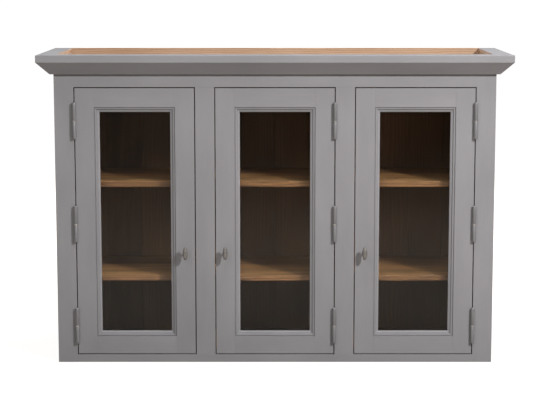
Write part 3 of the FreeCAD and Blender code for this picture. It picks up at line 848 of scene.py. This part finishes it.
def set_in(name, model, places, body, slot, finish):
    """Copies a model to every place and joins the copies to one piece that rides on a body.

    A place is a point on a face, the way that the face looks, and the turn of the copy about that way.
    """
    bpy.ops.object.select_all(action="DESELECT")
    for point, facing, turn in places:
        copy = bpy.data.objects.new(name, model.data.copy())
        aim = Vector(facing).to_track_quat("Z", "Y").to_matrix().to_4x4()
        copy.data.transform(Matrix.Translation(point) @ aim @ Matrix.Rotation(turn, 4, "Z"))
        bpy.context.scene.collection.objects.link(copy)
        copy.select_set(True)
        bpy.context.view_layer.objects.active = copy
    bpy.ops.object.join()
    piece = bpy.context.object
    piece.name = name
    bpy.ops.object.shade_smooth_by_angle(angle=math.radians(30))
    piece.data.materials.clear()
    piece.data.materials.append(bpy.data.materials[finish])
    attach(piece, body)


def turned(points, facing):
    """Gives each point the way its face looks and a turn of its own."""
    return [(Vector(point), facing, number * NEXT_TURN) for number, point in enumerate(points)]


class HUTCH_OT_hinge_screws(bpy.types.Operator):
    """Screws the hinge leaves to the frame and the doors, three slotted screws to a leaf"""

    bl_idname = "hutch.hinge_screws"
    bl_label = "Fit the hinge screws"

    def execute(self, context):
        radius = context.scene.hutch_sizes.hinge_screw
        screw = round_head("hinge screw", radius, 0.1 * MM, 0.4 * MM)
        cut_slot(screw, radius, 0.8 * MM, -0.1 * MM)
        steel = ("hinge_steel", "patinated steel")
        in_frame = []
        for door, way in zip(DOORS, (1, -1, -1)):
            low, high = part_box(f"{door}_door_hinge_leaves")
            axis = (low.x + high.x) / 2
            leaf_back = high.y
            frame_points = []
            door_points = []
            for height in HINGE_HEIGHTS:
                for rise, inset in LEAF_SCREWS:
                    deep = leaf_back - inset
                    level = height + rise
                    frame_points.append((axis - way * LEAF_FACE, deep, level - LEAF_RISE))
                    door_points.append((axis + way * LEAF_FACE, deep, level + LEAF_RISE))
            in_frame += turned(frame_points, (way, 0, 0))
            places = turned(door_points, (-way, 0, 0))
            set_in(f"{door}_door_hinge_screws", screw, places, f"{door}_door", *steel)
        set_in("frame_hinge_screws", screw, in_frame, "carcass", *steel)
        bpy.data.objects.remove(screw)
        return {"FINISHED"}


class HUTCH_OT_catch_fittings(bpy.types.Operator):
    """Screws down the catches and strike plates and lets two steel strips into each catch"""

    bl_idname = "hutch.catch_fittings"
    bl_label = "Fit the catches"

    def execute(self, context):
        sizes = context.scene.hutch_sizes
        zinc = "zinc plated steel"
        pan = round_head("catch screw", sizes.catch_screw, 0.8 * MM, 0.9 * MM)
        cut_slot(pan, sizes.catch_screw, 0.8 * MM, 0.9 * MM)
        flush = round_head("plate screw", sizes.plate_screw, 0.04 * MM, 0.1 * MM)
        cut_slot(flush, sizes.plate_screw, 0.7 * MM, -0.1 * MM)

        bpy.ops.object.select_all(action="DESELECT")
        bpy.ops.mesh.primitive_cube_add(size=1.0, scale=(23 * MM, 3 * MM, 1 * MM))
        strip = context.object
        bpy.ops.object.transform_apply(location=False, rotation=False, scale=True)
        bpy.ops.object.mode_set(mode="EDIT")
        pick_faces(strip, lambda face: face.normal.z > 0.9)
        bpy.ops.mesh.bevel(offset=0.2 * MM, segments=2)
        bpy.ops.object.mode_set(mode="OBJECT")

        low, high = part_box("catch_bodies")
        lug_middle, lug_top = (low.y + high.y) / 2, low.z + LUG_HEIGHT
        screws = []
        strips = []
        for door in DOORS:
            plate_low, plate_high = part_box(f"{door}_door_strike_plate")
            middle = (plate_low + plate_high) / 2
            screws += [(middle.x + side * LUG_SCREW_OUT, lug_middle, lug_top) for side in (-1, 1)]
            for rise in STRIP_HEIGHTS:
                point = Vector((middle.x, low.y + 0.4 * MM, low.z + rise))
                strips.append((point, (0, -1, 0), 0.0))
            points = [(middle.x + side * PLATE_SCREW_OUT, plate_high.y, middle.z) for side in (-1, 1)]
            places = turned(points, (0, 1, 0))
            set_in(f"{door}_door_plate_screws", flush, places, f"{door}_door", "zinc_steel", zinc)
        set_in("catch_screws", pan, turned(screws, (0, 0, 1)), "carcass", "zinc_steel", zinc)
        set_in("catch_pole_strips", strip, strips, "carcass", "zinc_steel", zinc)
        for model in (pan, flush, strip):
            bpy.data.objects.remove(model)
        return {"FINISHED"}


class HUTCH_OT_back_nails(bpy.types.Operator):
    """Nails the back boards to the top, the bottom and the sides"""

    bl_idname = "hutch.back_nails"
    bl_label = "Nail the back"

    def execute(self, context):
        radius = context.scene.hutch_sizes.back_nail
        nail = round_head("back nail", radius, 0.05 * MM, 0.2 * MM, sides=16)
        low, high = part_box("back_boards")
        pitch = (high.x - low.x) / BACK_BOARDS
        points = []
        for board in range(BACK_BOARDS):
            for across in NAIL_SHARES:
                place = low.x + (board + across) * pitch
                points.append((place, high.y, low.z + END_NAIL_IN))
                points.append((place, high.y, high.z - END_NAIL_IN))
        for level in SIDE_NAIL_HEIGHTS:
            for side in (low.x + SIDE_NAIL_IN, high.x - SIDE_NAIL_IN):
                points.append((side, high.y, level))
        places = turned(points, (0, 1, 0))
        set_in("back_nails", nail, places, "carcass", "hinge_steel", "patinated steel")
        bpy.data.objects.remove(nail)
        return {"FINISHED"}


class HUTCH_OT_top_screws(bpy.types.Operator):
    """Screws the top board down into the two partitions"""

    bl_idname = "hutch.top_screws"
    bl_label = "Fit the top screws"

    def execute(self, context):
        radius = context.scene.hutch_sizes.top_screw
        screw = round_head("top screw", radius, 0.1 * MM, 0.35 * MM)
        cut_slot(screw, radius, 1.0 * MM, -0.1 * MM)
        top = high_of("top_board").z
        points = []
        for side in ("left", "right"):
            low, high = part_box(f"{side}_partition")
            points += [((low.x + high.x) / 2, deep, top) for deep in TOP_SCREW_DEPTHS]
        places = turned(points, (0, 0, 1))
        set_in("top_screws", screw, places, "carcass", "zinc_steel", "zinc plated steel")
        bpy.data.objects.remove(screw)
        return {"FINISHED"}


# Studio


def soft_box(name, place, target, width, height, power):
    """Hangs a soft box at a place and points it at a target."""
    lamp = bpy.data.lights.new(name, "AREA")
    lamp.shape = "RECTANGLE"
    lamp.size = width
    lamp.size_y = height
    lamp.energy = power
    box = bpy.data.objects.new(name, lamp)
    box.location = place
    box.rotation_euler = (Vector(target) - Vector(place)).to_track_quat("-Z", "Y").to_euler()
    bpy.context.scene.collection.objects.link(box)


def seen_directly(tree):
    """Gives 1 for what the camera sees straight, in metal or through glass, and 0 for other light.

    Light that has already left a matt surface counts as other light, also where it passes glass.
    """
    path = add_node(tree, "ShaderNodeLightPath")
    seen = add_node(
        tree,
        "ShaderNodeMath",
        {0: path.outputs["Is Camera Ray"], 1: path.outputs["Is Glossy Ray"]},
        operation="MAXIMUM",
    ).outputs[0]
    seen = add_node(
        tree,
        "ShaderNodeMath",
        {0: seen, 1: path.outputs["Is Transmission Ray"]},
        operation="MAXIMUM",
    ).outputs[0]
    first = add_node(
        tree, "ShaderNodeMath", {0: path.outputs["Diffuse Depth"], 1: 0.5}, operation="LESS_THAN"
    ).outputs[0]
    return add_node(tree, "ShaderNodeMath", {0: seen, 1: first}, operation="MULTIPLY").outputs[0]


def pale_floor():
    """White paper with a mat on it: white to the eye, less where the hutch shades it.

    The mat, about three times as wide as it is deep, sends less light up to the hutch's foot than
    the paper does. Panes and metal mirror a dimmer floor: paler near the hutch and towards the left
    of the room, and lit by the lamps alone further off.
    """
    material, tree = new_finish("white paper")
    place = add_node(tree, "ShaderNodeTexCoord").outputs["Object"]
    reach = add_node(tree, "ShaderNodeVectorMath", {0: place}, operation="LENGTH").outputs["Value"]
    to_eye = add_node(
        tree,
        "ShaderNodeMapRange",
        {"Value": reach, "From Min": 1.2, "From Max": 3.5, "To Min": 0.9, "To Max": 1.0},
    ).outputs["Result"]
    mirrored = add_node(
        tree,
        "ShaderNodeMapRange",
        {"Value": reach, "From Min": 0.9, "From Max": 3.4, "To Min": 0.33, "To Max": 0.0},
    ).outputs["Result"]
    across = add_node(tree, "ShaderNodeSeparateXYZ", {0: place}).outputs["X"]
    from_left = add_node(
        tree,
        "ShaderNodeMapRange",
        {"Value": across, "From Min": -0.9, "From Max": 0.3, "To Min": 0.13, "To Max": 0.0},
    ).outputs["Result"]
    mirrored = add_node(
        tree, "ShaderNodeMath", {0: mirrored, 1: from_left}, operation="ADD"
    ).outputs[0]
    path = add_node(tree, "ShaderNodeLightPath")
    straight = add_node(
        tree, "ShaderNodeMath", {0: path.outputs["Glossy Depth"], 1: 0.5}, operation="LESS_THAN"
    ).outputs[0]
    strength = add_node(
        tree,
        "ShaderNodeMix",
        {MIX_FACTOR: straight, NUMBER_A: mirrored, NUMBER_B: to_eye},
        data_type="FLOAT",
    ).outputs[NUMBER_RESULT]
    on_mat = add_node(
        tree, "ShaderNodeMapping", {"Vector": place, "Scale": (0.35, 1.0, 1.0)}
    ).outputs["Vector"]
    off_mat = add_node(tree, "ShaderNodeVectorMath", {0: on_mat}, operation="LENGTH").outputs["Value"]
    level = add_node(
        tree,
        "ShaderNodeMapRange",
        {"Value": off_mat, "From Min": 0.3, "From Max": 0.9, "To Min": 0.48, "To Max": 1.0},
    ).outputs["Result"]
    tone = add_node(
        tree, "ShaderNodeVectorMath", {0: linear("bcb3a9")[:3], "Scale": level}, operation="SCALE"
    ).outputs["Vector"]
    paper = add_node(tree, "ShaderNodeBsdfDiffuse", {"Color": tone})
    white = add_node(tree, "ShaderNodeEmission", {"Color": linear("ffffff"), "Strength": strength})
    bright = add_node(
        tree, "ShaderNodeAddShader", {0: white.outputs["Emission"], 1: paper.outputs["BSDF"]}
    )
    both = add_node(
        tree,
        "ShaderNodeMixShader",
        {0: seen_directly(tree), 1: paper.outputs["BSDF"], 2: bright.outputs["Shader"]},
    )
    add_node(tree, "ShaderNodeOutputMaterial", {"Surface": both.outputs["Shader"]})
    return material


class HUTCH_OT_studio(bpy.types.Operator):
    """Sets up the floor, the lights and the camera of the photograph"""

    bl_idname = "hutch.studio"
    bl_label = "Set up the studio"

    def execute(self, context):
        scene = context.scene
        studio = scene.hutch_studio
        bpy.ops.object.select_all(action="DESELECT")
        # The floor starts well behind the camera, and its far end is lost in the white room
        bpy.ops.mesh.primitive_plane_add(size=120.0, location=(0.0, 40.0, -0.2 * MM))
        floor = context.object
        floor.name = "floor"
        bpy.ops.object.transform_apply(location=True, rotation=False, scale=False)
        floor.data.materials.append(pale_floor())

        middle = (0.0, -0.15, 0.5)
        soft_box("key light", (2.05, -2.55, 2.45), middle, 0.22, 0.32, studio.key)
        soft_box("fill light", (-1.6, -3.1, 2.6), middle, 1.0, 1.0, studio.fill)
        soft_box("top light", (0.4, -0.9, 3.3), (0.0, -0.1, 0.5), 2.4, 0.8, studio.top)
        for side, x in (("left", -2.4), ("right", 2.4)):
            soft_box(f"{side} rear light", (x, 2.6, 1.25), (0.0, 0.1, 0.45), 1.6, 0.9, studio.rear)

        world = bpy.data.worlds.new("white room")
        world.use_nodes = True
        tree = world.node_tree
        tree.nodes.clear()
        strength = add_node(
            tree,
            "ShaderNodeMapRange",
            {"Value": seen_directly(tree), "To Min": studio.room, "To Max": 1.0},
        ).outputs["Result"]
        light = add_node(
            tree, "ShaderNodeBackground", {"Color": linear("ffffff"), "Strength": strength}
        )
        add_node(tree, "ShaderNodeOutputWorld", {"Surface": light.outputs["Background"]})
        scene.world = world
        scene.view_settings.view_transform = "Standard"

        lens = bpy.data.cameras.new("camera")
        lens.lens = studio.lens
        lens.sensor_width = 36.0
        lens.shift_y = studio.rise
        lens.clip_end = 200.0
        camera = bpy.data.objects.new("camera", lens)
        camera.location = (0.0, -studio.distance, studio.height)
        camera.rotation_euler = (math.pi / 2 - studio.tilt, 0.0, 0.0)
        scene.collection.objects.link(camera)
        scene.camera = camera
        return {"FINISHED"}


STEPS = (
    HUTCH_OT_carcass,
    HUTCH_OT_crown,
    HUTCH_OT_doors,
    HUTCH_OT_hardware,
    HUTCH_OT_hinge_screws,
    HUTCH_OT_catch_fittings,
    HUTCH_OT_back_nails,
    HUTCH_OT_top_screws,
    HUTCH_OT_studio,
)


class HUTCH_PT_steps(bpy.types.Panel):
    """Lists the steps that finish the hutch"""

    bl_idname = "HUTCH_PT_steps"
    bl_label = "Glazed hutch"
    bl_space_type = "VIEW_3D"
    bl_region_type = "UI"
    bl_category = "Hutch"

    def draw(self, context):
        for step in STEPS:
            self.layout.operator(step.bl_idname)


CLASSES = (HutchSizes, HutchFinishes, HutchStudio, *STEPS, HUTCH_PT_steps)


def register():
    for kind in CLASSES:
        bpy.utils.register_class(kind)
    bpy.types.Scene.hutch_sizes = bpy.props.PointerProperty(type=HutchSizes)
    bpy.types.Scene.hutch_finishes = bpy.props.PointerProperty(type=HutchFinishes)
    bpy.types.Scene.hutch_studio = bpy.props.PointerProperty(type=HutchStudio)


def unregister():
    del bpy.types.Scene.hutch_studio
    del bpy.types.Scene.hutch_finishes
    del bpy.types.Scene.hutch_sizes
    for kind in reversed(CLASSES):
        bpy.utils.unregister_class(kind)


def main():
    """Runs every step."""
    register()
    bpy.ops.hutch.carcass()
    bpy.ops.hutch.crown()
    bpy.ops.hutch.doors()
    bpy.ops.hutch.hardware()
    bpy.ops.hutch.hinge_screws()
    bpy.ops.hutch.catch_fittings()
    bpy.ops.hutch.back_nails()
    bpy.ops.hutch.top_screws()
    bpy.ops.hutch.studio()


if __name__ == "__main__":
    main()
